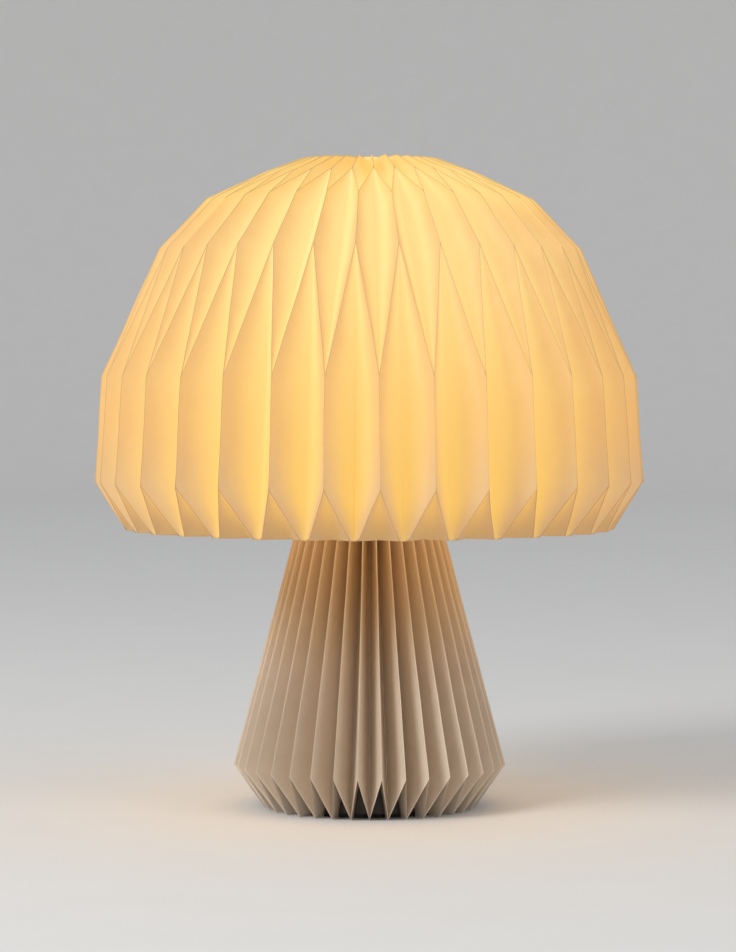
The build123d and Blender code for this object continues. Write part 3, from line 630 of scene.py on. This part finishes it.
# The light through the paper is painted into its emission colour: brighter and yellower high up and in the
# grooves, painted shade by the rim and on the underside, dark painted lines along the folds, and a brighter
# inner skin.
shade_level = glow_paper.axis("Z")
underside = glow_paper.attribute("underside")
upper = shade_level.step(0.15, 0.30)
lower = 1 - shade_level.step(0.165, 0.205)
painted_rim_shade = 1 - shade_level.step(0.143, 0.163)
crown = shade_level.step(0.295, 0.318)
clouds = 0.16 * glow_paper.noise(160, 3.0) + 0.3 * glow_paper.noise(24, 1.0)
through = (glow_paper.attribute("valley") + clouds + 0.12 * upper - 0.22).step(0.0, 0.95)
groove_tone = glow_paper.mix(upper, (0.76, 0.45, 0.095), (0.83, 0.61, 0.25))
fold_tone = glow_paper.mix(lower, (0.60, 0.31, 0.11), (0.47, 0.27, 0.15))
fold_tone = glow_paper.mix(crown, fold_tone, (0.70, 0.41, 0.10))
light = glow_paper.mix(through, fold_tone, groove_tone)
light = glow_paper.mix(0.5 * underside, light, (0.52, 0.21, 0.04))
light = glow_paper.mix((0.3 + 0.45 * underside) * painted_rim_shade, light, (0.24, 0.11, 0.06))
fold_shade_tone = glow_paper.mix(crown, (0.30, 0.17, 0.07), (0.27, 0.17, 0.04))
fold_shade_tone = glow_paper.mix(1 - shade_level.step(0.165, 0.18), fold_shade_tone, (0.20, 0.06, 0.02))
fold_line = 1 - glow_paper.attribute("crease").step(0.15 * mm, 0.6 * mm)
light = glow_paper.mix(0.75 * fold_line, light, fold_shade_tone)
outward = glow_paper.node("VectorMath", {"operation": "SUBTRACT"}, {0: glow_paper.place, 1: (0, 0, 0.19)})
facing = glow_paper.node("TexCoord", {}, {}, "Normal")
facing = glow_paper.node("VectorMath", {"operation": "DOT_PRODUCT"}, {0: facing, 1: outward}, "Value")
seen_outside = (facing + 0.05 * crown).step(-0.1 * mm, 0.1 * mm)
inside = glow_paper.mix(0.8 * through + 0.2 * upper, (0.92, 0.48, 0.14), (1.0, 0.70, 0.30))
light = glow_paper.mix(seen_outside, inside, light)
glow_paper.set({"Emission Color": light, "Emission Strength": 0.85})
glow_paper.bump(glow_paper.noise(1800, 3.0, (1, 1, 0.35)), 0.05 * mm)

shade_pleats = 33
shade_sheets = 6
shade_turn = 2.0
shade_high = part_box("shade_sheet_1")[1].z
shade_rib = [
    (17.6 * mm, shade_high),
    (34.8 * mm, shade_high),
    (56.0 * mm, shade_high - 7.6 * mm),
    (137.6 * mm, shade_high - 111.7 * mm),
    (141.3 * mm, shade_high - 165.5 * mm),
    (113.5 * mm, shade_high - 190.2 * mm),
]
shade_groove = [
    (17.6 * mm, shade_high - 20.9 * mm),
    (17.6 * mm, shade_high - 20.9 * mm),
    (84.4 * mm, shade_high - 20.9 * mm),
    (108.9 * mm, shade_high - 46.8 * mm),
    (122.4 * mm, shade_high - 190.2 * mm),
    (122.4 * mm, shade_high - 190.2 * mm),
]
shade_half = 180 / shade_pleats
shade_pleat = folded_pleat("shade pleat", shade_rib, shade_groove, "RRGRG", shade_half,
                           rows=(4, 7, 13, 16, 6), columns=10, bow=0.5, blunt=3.8 * mm)
seams = [shade_pleats // 2 + number * shade_pleats // shade_sheets for number in range(shade_sheets + 1)]
for number, (first, following) in enumerate(zip(seams, seams[1:])):
    sheet = pleated_sheet(f"shade_paper_{number + 1}", shade_pleat, {
        "Pleats": following - first,
        "Pitch": radians(2 * shade_half),
        "First bearing": radians(shade_turn + 2 * shade_half * (first + 1)),
        "Unevenness": 1.4 * mm,
        "Gathered radius": 90 * mm,
        "Waves per metre": 30.0,
        "Seed": 4.0,
        "Paper": glow_paper.material,
    }, 0.3 * mm)
    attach(sheet, "shade")
    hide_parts(f"shade_sheet_{number + 1}")

lit_tape = Finish("lit paper tape", (0.40, 0.28, 0.12), 0.8)
lit_clouds = lit_tape.noise(300, 3.0)
lit_tape.set({"Emission Color": lit_tape.mix(lit_clouds, (0.60, 0.33, 0.10), (0.72, 0.42, 0.13))})
lit_tape.set({"Emission Strength": 0.85})
lit_tape.bump(lit_clouds, 0.03 * mm)
dress(lit_tape, *[f"shade_seam_tape_{number + 1}" for number in range(shade_sheets)])

card = Finish("lit card", (0.42, 0.33, 0.18), 0.85)
card_clouds = card.noise(260, 4.0)
card.set({"Base Color": card.mix(card_clouds, (0.40, 0.31, 0.16), (0.46, 0.36, 0.20))})
card.set({"Emission Color": card.mix(card_clouds, (0.80, 0.50, 0.12), (0.88, 0.60, 0.18))})
card.set({"Emission Strength": 0.8})
card.bump(card_clouds, 0.05 * mm)
dress(card, "vent_collar")


# Floor and backdrop: one pale round dish, flat under the lamp and curving up a few metres away on
# every side, so that the lamp can be looked at from all round.
sweep_finish = Finish("pale sweep", (0.80, 0.79, 0.77), 0.9)
sweep_grain = sweep_finish.noise(20, 4.0)
sweep_finish.set({"Base Color": sweep_finish.mix(sweep_grain, (0.79, 0.78, 0.76), (0.82, 0.81, 0.79))})
sweep_flat = 4.0
sweep_bend = 1.6
bend_steps = 24
sweep_turns = 96
sweep_outline = [(0.0, 0.0)]
for n in range(bend_steps + 1):
    angle = pi / 2 * n / bend_steps
    sweep_outline.append((sweep_flat + sweep_bend * sin(angle), sweep_bend * (1 - cos(angle))))
build = bmesh.new()
sweep_rings = []
for turn in range(sweep_turns):
    bearing = 360 * turn / sweep_turns
    sweep_points = [turned(radius, height, bearing) for radius, height in sweep_outline]
    sweep_rings.append([build.verts.new(point) for point in sweep_points])
for here, there in zip(sweep_rings, sweep_rings[1:] + sweep_rings[:1]):
    for n in range(bend_steps + 1):
        build.faces.new((here[n], there[n], there[n + 1], here[n + 1])).smooth = True
bmesh.ops.remove_doubles(build, verts=build.verts, dist=1 * mm)
sweep_mesh = bpy.data.meshes.new("sweep")
build.to_mesh(sweep_mesh)
build.free()
sweep_mesh.materials.append(sweep_finish.material)
sweep = bpy.data.objects.new("sweep", sweep_mesh)
bpy.context.scene.collection.objects.link(sweep)


# Light: a large soft lamp high on the left, a weaker one on the right and an even pale surround.
def soft_lamp(name, place, size, power):
    lamp = bpy.data.lights.new(name, "AREA")
    lamp.size = size
    lamp.energy = power
    holder = bpy.data.objects.new(name, lamp)
    holder.location = place
    holder.rotation_euler = (Vector((0, 0, 0.16)) - Vector(place)).to_track_quat("-Z", "Y").to_euler()
    bpy.context.scene.collection.objects.link(holder)


soft_lamp("key", (-1.6, -1.5, 1.5), 1.0, 33)
soft_lamp("fill", (1.8, -1.2, 0.9), 1.2, 7)
surround = bpy.data.worlds.new("surround")
surround.use_nodes = True
surround.node_tree.nodes["Background"].inputs["Color"].default_value = (0.95, 0.97, 1.0, 1.0)
surround.node_tree.nodes["Background"].inputs["Strength"].default_value = 0.55
bpy.context.scene.world = surround
